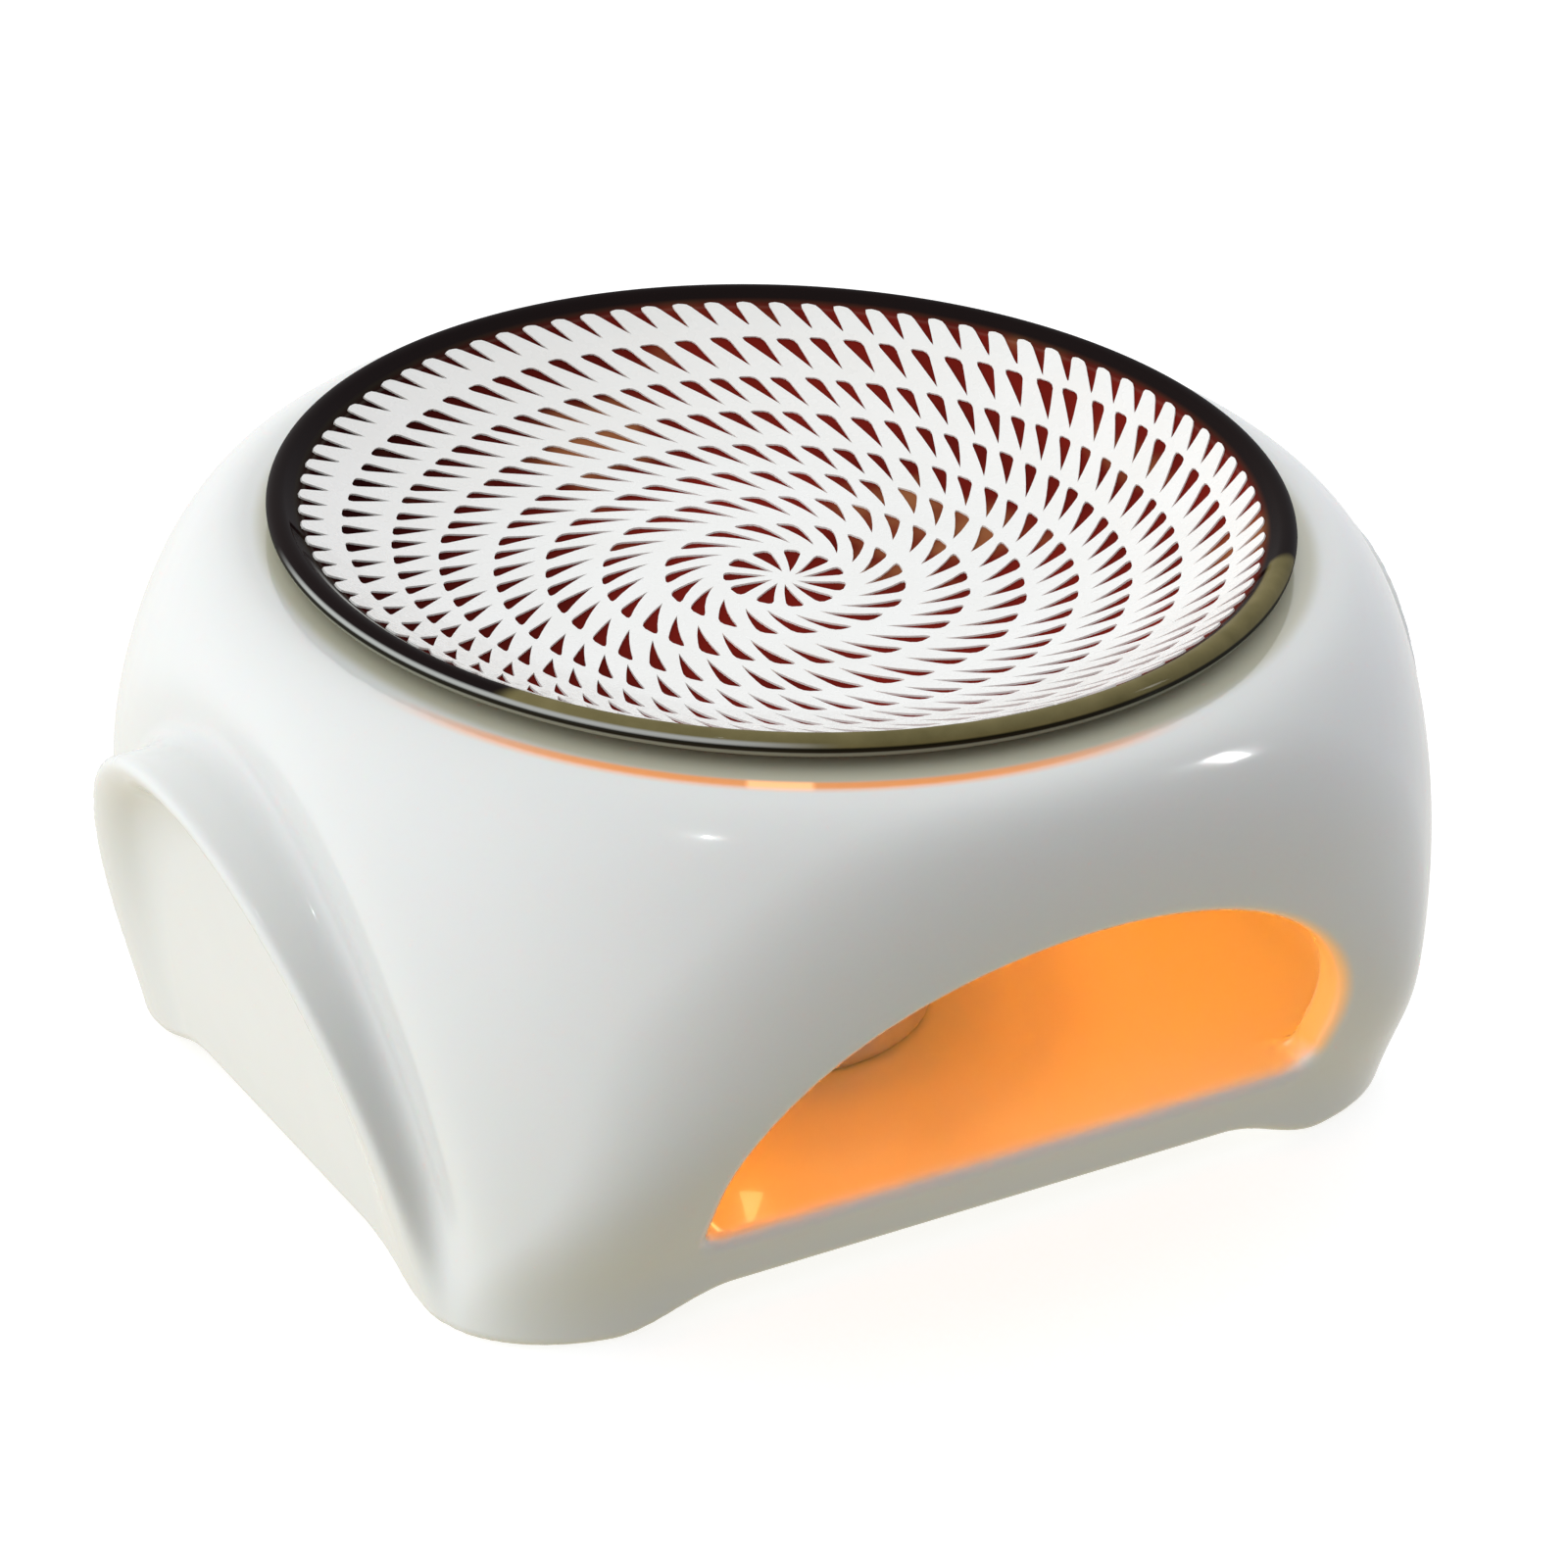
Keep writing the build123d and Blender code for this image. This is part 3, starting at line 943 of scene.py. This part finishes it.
# Dark glaze: its tints, with painted reflections and painted shade on the rim
GLAZE_BLACK = (0.006, 0.002, 0.002)
OLIVE_REFLECTION_DARK = (0.10, 0.085, 0.03)
OLIVE_REFLECTION_PALE = (0.24, 0.20, 0.09)
RIM_PALE_REFLECTION = (0.42, 0.43, 0.41)
RIM_LINE = (0.012, 0.01, 0.005)
RIM_UNDERSIDE_SHADE = (0.27, 0.27, 0.21)
CUT_BROWN = (0.016, 0.003, 0.003)
CUT_RED = (0.2, 0.014, 0.009)
CUT_PALE_TAN = (0.3, 0.11, 0.045)

# Dark glaze: where the tints lie. Each pair is where a tint is nothing and where it is full.
RIM_BAND = (49.0, 50.4)
RIM_COAT = 0.14
OLIVE_BAND = (50.4, 50.9)
OLIVE_RUN = (29.5, 31.0)
OLIVE_STRAY = 1.0
PALE_RUN = (40.0, 47.0)
RED_RUN = (44.0, 8.0)
PALE_TAN_RUN = (-12.0, 12.0)
PALE_TAN_NOISE = (0.52, 0.66)
PALE_DROP = 0.55
LINE_DROP = 0.95
UNDERSIDE_DROP = 1.5
DROP_BLUR = 0.1

# Dark glaze: level directions that the tints are measured along
OLIVE_SIDE = (-0.116, -0.993)
PALE_SIDE = (-0.9, -0.43)
RED_SIDE = (-0.85, 0.53)
PALE_TAN_SIDE = (0.85, 0.53)


def under_rim_top(tree, z, drop):
    """1 lower on the dish's rim than a drop below its top."""
    level = DISH_RIM_TOP - drop
    return remap(tree, z, (level + DROP_BLUR) * MM, (level - DROP_BLUR) * MM)


def along_run(tree, x, y, direction, run):
    """Rises evenly from 0 to 1 along a level direction."""
    return remap(tree, along(tree, x, y, direction), run[0] * MM, run[1] * MM)


def dark_glaze():
    """Dark brown glaze: black where it lies thick, red-brown in the cuts, a painted olive reflection on one
    side of the rim and more painted reflection and shade below it.
    """
    material, tree, shader = new_material("dark glaze")
    x, y, z, radius = place_parts(tree)

    # Painted reflection: the rim's top is olive-gold on its near side, a warm reflection painted into the
    # glaze
    stray = uneven(tree, scale=0.1, detail=3.0, low=-OLIVE_STRAY * MM, high=OLIVE_STRAY * MM)
    near_side = math_node(tree, "ADD", along(tree, x, y, OLIVE_SIDE), stray)
    olive_reflection_share = masked(tree, (near_side, *OLIVE_RUN), (radius, *OLIVE_BAND))
    olive = blend_colours(tree, noise(tree, scale=0.25, detail=4.0), OLIVE_REFLECTION_DARK, OLIVE_REFLECTION_PALE)
    rim = blend_colours(tree, olive_reflection_share, GLAZE_BLACK, olive)
    # Painted reflection: pale grey low on the rim's front-left, where the bright side of the studio would
    # show
    pale_reflection_share = masked(tree, (along(tree, x, y, PALE_SIDE), *PALE_RUN))
    pale_reflection_share = product(tree, pale_reflection_share, under_rim_top(tree, z, PALE_DROP))
    rim = blend_colours(tree, pale_reflection_share, rim, RIM_PALE_REFLECTION)
    rim = blend_colours(tree, under_rim_top(tree, z, LINE_DROP), rim, RIM_LINE)
    # Painted shade: the rim's lowest band is painted grey-olive, like a shaded wall under a thinner rim
    rim = blend_colours(tree, under_rim_top(tree, z, UNDERSIDE_DROP), rim, RIM_UNDERSIDE_SHADE)

    redden = along_run(tree, x, y, RED_SIDE, RED_RUN)
    redden = product(tree, redden, uneven(tree, scale=0.08, detail=4.0, low=0.6, high=1.0))
    cut = blend_colours(tree, redden, CUT_BROWN, CUT_RED)
    # Paler tan cuts in noisy patches, more of them further along one level direction
    pale_tan_share = remap(tree, noise(tree, scale=0.05, detail=3.0), *PALE_TAN_NOISE, smooth=True)
    pale_tan_share = product(tree, pale_tan_share, along_run(tree, x, y, PALE_TAN_SIDE, PALE_TAN_RUN))
    cut = blend_colours(tree, pale_tan_share, cut, CUT_PALE_TAN)

    on_rim = masked(tree, (radius, *RIM_BAND))
    tree.links.new(blend_colours(tree, on_rim, cut, rim), shader.inputs["Base Color"])
    tree.links.new(uneven(tree, scale=0.4, detail=2.0, low=0.12, high=0.25), shader.inputs["Roughness"])
    shader.inputs["Specular IOR Level"].default_value = 0.0
    tree.links.new(product(tree, on_rim, RIM_COAT), shader.inputs["Coat Weight"])
    shader.inputs["Coat Roughness"].default_value = 0.04
    bump(tree, shader, noise(tree, scale=0.12, detail=2.0), strength=0.06, distance=0.3)
    return material


def white_slip():
    """White slip under clear glaze, a little warm and uneven."""
    material, tree, shader = new_material("white slip")
    cream = (0.90, 0.89, 0.86)
    white = (0.97, 0.97, 0.96)
    colour = blend_colours(tree, noise(tree, scale=0.12, detail=5.0), cream, white)
    tree.links.new(colour, shader.inputs["Base Color"])
    tree.links.new(uneven(tree, scale=0.5, detail=3.0, low=0.2, high=0.35), shader.inputs["Roughness"])
    shader.inputs["Coat Weight"].default_value = 0.2
    shader.inputs["Coat Roughness"].default_value = 0.08
    bump(tree, shader, noise(tree, scale=0.6, detail=3.0), strength=0.1, distance=0.15)
    return material


def foil():
    """Thin drawn aluminium."""
    material, tree, shader = new_material("drawn foil")
    grey = (0.62, 0.62, 0.63)
    bright = (0.82, 0.82, 0.83)
    colour = blend_colours(tree, noise(tree, scale=0.3, detail=4.0), grey, bright)
    tree.links.new(colour, shader.inputs["Base Color"])
    shader.inputs["Metallic"].default_value = 1.0
    tree.links.new(uneven(tree, scale=1.2, detail=3.0, low=0.3, high=0.42), shader.inputs["Roughness"])
    bump(tree, shader, noise(tree, scale=0.6, detail=2.0), strength=0.08, distance=0.1)
    return material


def wax():
    """Paraffin wax, slightly translucent."""
    material, tree, shader = new_material("candle wax")
    yellowish = (0.84, 0.78, 0.66)
    pale = (0.93, 0.9, 0.82)
    wet_noise = (0.35, 0.65)
    colour = blend_colours(tree, noise(tree, scale=0.2, detail=4.0), yellowish, pale)
    tree.links.new(colour, shader.inputs["Base Color"])
    shader.inputs["Subsurface Weight"].default_value = 0.4
    shader.inputs["Subsurface Radius"].default_value = (3 * MM, 2 * MM, 1 * MM)
    roughness = remap(tree, noise(tree, scale=0.3, detail=2.0), *wet_noise, 0.12, 0.4)
    tree.links.new(roughness, shader.inputs["Roughness"])
    bump(tree, shader, noise(tree, scale=0.5, detail=3.0), strength=0.15, distance=0.3)
    return material


def cotton():
    """Wick: pale braid in the wax, burnt black above it."""
    material, tree, shader = new_material("wick cotton")
    pale = (0.6, 0.55, 0.45)
    black = (0.012, 0.01, 0.009)
    char_run = 2.0
    char_stray = 0.8
    _, _, z, _ = place_parts(tree)
    ragged = uneven(tree, scale=1.0, detail=3.0, low=-char_stray * MM, high=char_stray * MM)
    height = math_node(tree, "ADD", z, ragged)
    burnt = remap(tree, height, WAX_HIGH.z * MM, (WAX_HIGH.z + char_run) * MM)
    tree.links.new(blend_colours(tree, burnt, pale, black), shader.inputs["Base Color"])
    shader.inputs["Roughness"].default_value = 0.9
    bump(tree, shader, noise(tree, scale=4.0, detail=3.0), strength=0.5, distance=0.15)
    return material


def tin():
    """Stamped tin plate."""
    material, tree, shader = new_material("tin plate")
    dull = (0.42, 0.42, 0.43)
    bright = (0.62, 0.62, 0.63)
    colour = blend_colours(tree, noise(tree, scale=0.8, detail=4.0), dull, bright)
    tree.links.new(colour, shader.inputs["Base Color"])
    shader.inputs["Metallic"].default_value = 1.0
    tree.links.new(uneven(tree, scale=2.0, detail=3.0, low=0.25, high=0.45), shader.inputs["Roughness"])
    return material


def fire():
    """Flame: a faint blue foot, then orange, then a pale yellow body."""
    material, tree, shader = new_material("flame")
    blue = (0.1, 0.16, 0.9)
    orange = (1.0, 0.36, 0.05)
    yellow = (1.0, 0.72, 0.28)
    blue_height = 4.0
    orange_start = 3.0
    orange_end = 9.0
    faint = 0.6
    bright = 6.0
    _, _, z, _ = place_parts(tree)
    low = remap(tree, z, FLAME_BASE * MM, (FLAME_BASE + blue_height) * MM)
    high = remap(tree, z, (FLAME_BASE + orange_start) * MM, (FLAME_BASE + orange_end) * MM)
    colour = blend_colours(tree, low, blue, orange)
    colour = blend_colours(tree, high, colour, yellow)
    shader.inputs["Base Color"].default_value = (0.0, 0.0, 0.0, 1.0)
    tree.links.new(colour, shader.inputs["Emission Color"])
    tree.links.new(remap(tree, low, 0.0, 1.0, faint, bright), shader.inputs["Emission Strength"])
    return material


# Stage: floor, lights and camera

def make_floor():
    """Plain pale floor, which takes the warmer's shadow and sends no light back to it."""
    material, tree, shader = new_material("pale floor")
    colour = blend_colours(tree, noise(tree, scale=0.004, detail=2.0), FLOOR_GREY, FLOOR_PALE)
    tree.links.new(colour, shader.inputs["Base Color"])
    shader.inputs["Roughness"].default_value = 0.9
    shader.inputs["Specular IOR Level"].default_value = 0.1
    shader.inputs["Emission Color"].default_value = (1.0, 1.0, 1.0, 1.0)
    shader.inputs["Emission Strength"].default_value = FLOOR_GLOW
    signs = ((-1, -1), (1, -1), (1, 1), (-1, 1))
    corners = [(FLOOR_HALF * across, FLOOR_HALF * ahead, 0.0) for across, ahead in signs]
    mesh = bpy.data.meshes.new("floor")
    mesh.from_pydata(corners, [], [(0, 1, 2, 3)])
    mesh.materials.append(material)
    floor = bpy.data.objects.new("floor", mesh)
    floor.visible_diffuse = False
    floor.visible_glossy = False
    floor.visible_shadow = False
    bpy.context.scene.collection.objects.link(floor)


def make_world():
    """Soft studio: each direction gets its share of the light of the three sides that it leans to."""
    world = bpy.data.worlds.new("studio")
    world.use_nodes = True
    tree = world.node_tree
    background = next(node for node in tree.nodes if node.type == "BACKGROUND")
    place = tree.nodes.new("ShaderNodeTexCoord")
    parts = tree.nodes.new("ShaderNodeSeparateXYZ")
    tree.links.new(place.outputs["Generated"], parts.inputs[0])
    sides = ((LEFT_LIGHT, RIGHT_LIGHT), (FRONT_LIGHT, BACK_LIGHT), (BELOW_LIGHT, ABOVE_LIGHT))
    total = None
    for part, (low_side, high_side) in zip(parts.outputs, sides):
        colour = blend_colours(tree, math_node(tree, "GREATER_THAN", part, 0.0), low_side, high_side)
        share = add_node(tree, "ShaderNodeVectorMath", operation="SCALE")
        tree.links.new(colour, share.inputs[0])
        tree.links.new(product(tree, part, part), share.inputs["Scale"])
        if total is None:
            total = share
            continue
        joined = add_node(tree, "ShaderNodeVectorMath", operation="ADD")
        tree.links.new(total.outputs[0], joined.inputs[0])
        tree.links.new(share.outputs[0], joined.inputs[1])
        total = joined
    tree.links.new(total.outputs[0], background.inputs["Color"])
    bpy.context.scene.world = world


def glint(name, spot, direction, size, power):
    """Small lamp that shows in the glaze at a spot on the body, and lights nothing else."""
    light = bpy.data.lights.new(name, "AREA")
    light.shape = "RECTANGLE"
    light.size, light.size_y = size
    light.energy = power
    lamp = bpy.data.objects.new(name, light)
    lamp.location = Vector(spot) * MM + Vector(direction)
    lamp.rotation_euler = (-Vector(direction)).to_track_quat("-Z", "Y").to_euler()
    lamp.visible_diffuse = False
    bpy.context.scene.collection.objects.link(lamp)


def candle_light(name, flame, pieces, power, radius, shadow):
    """Candle light that moves with the flame. It lights the warmer, and not the floor under it."""
    light = bpy.data.lights.new(name, "POINT")
    light.energy = power
    light.color = CANDLE_COLOUR
    light.shadow_soft_size = radius * MM
    light.use_shadow = shadow
    lamp = bpy.data.objects.new(name, light)
    lamp.location = (CUP_CENTRE.x * MM, CUP_CENTRE.y * MM, CANDLE_HEIGHT * MM)
    lamp.visible_glossy = False
    bpy.context.scene.collection.objects.link(lamp)
    lamp.parent = flame
    lamp.matrix_parent_inverse = flame.matrix_world.inverted()
    lit = bpy.data.collections.new("lit by " + name)
    for piece in pieces:
        lit.objects.link(piece)
    lamp.light_linking.receiver_collection = lit


def make_lights(flame, pieces):
    make_world()
    glint("window", *WINDOW_GLINT)
    glint("spark", *SPARK_GLINT)
    candle_light("candle", flame, pieces, CANDLE_POWER, CANDLE_RADIUS, True)
    candle_light("candle glow", flame, pieces, GLOW_POWER, GLOW_RADIUS, False)


def make_camera():
    """Camera at the photo's place: the rim's centre falls on a known pixel of a square frame."""
    azimuth, elevation, roll = (math.radians(angle) for angle in (-32.0, 26.17, 2.46))
    distance = 605.5
    rim_centre = Vector((0.0, 0.0, 65.2))
    rim_pixel = (798.83, 503.57)
    focal_pixels = 6000.0
    frame_pixels = 1600.0
    level = Vector((math.cos(azimuth), math.sin(azimuth), 0.0))
    outward = Vector((math.sin(azimuth), -math.cos(azimuth), 0.0))
    back = math.cos(elevation) * outward + math.sin(elevation) * Vector((0.0, 0.0, 1.0))
    upright = back.cross(level)
    right = math.cos(roll) * level + math.sin(roll) * upright
    up = math.cos(roll) * upright - math.sin(roll) * level
    pan = math.atan((rim_pixel[0] - frame_pixels / 2) / focal_pixels)
    tilt = math.atan((rim_pixel[1] - frame_pixels / 2) / focal_pixels)
    side = math.cos(pan) * right - math.sin(pan) * back
    ahead = -math.sin(pan) * right - math.cos(pan) * back
    top = math.cos(tilt) * up - math.sin(tilt) * ahead
    ahead = math.sin(tilt) * up + math.cos(tilt) * ahead
    data = bpy.data.cameras.new("camera")
    data.sensor_width = 36.0
    data.lens = focal_pixels / frame_pixels * data.sensor_width
    data.clip_start = 10 * MM
    camera = bpy.data.objects.new("camera", data)
    turned = Matrix((side, top, -ahead)).transposed().to_4x4()
    camera.matrix_world = Matrix.Translation((rim_centre + distance * back) * MM) @ turned
    bpy.context.scene.collection.objects.link(camera)
    bpy.context.scene.camera = camera


bpy.context.scene.view_settings.view_transform = "Standard"
pieces = [
    make_body(porcelain()),
    make_dish(dark_glaze()),
    make_slip(white_slip()),
    make_cup(foil()),
    make_wax(wax()),
    make_wick(cotton()),
]
tin_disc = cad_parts["wick_sustainer"]
tin_disc.data.materials.clear()
tin_disc.data.materials.append(tin())
flame = make_flame(fire())
make_floor()
make_lights(flame, pieces)
make_camera()
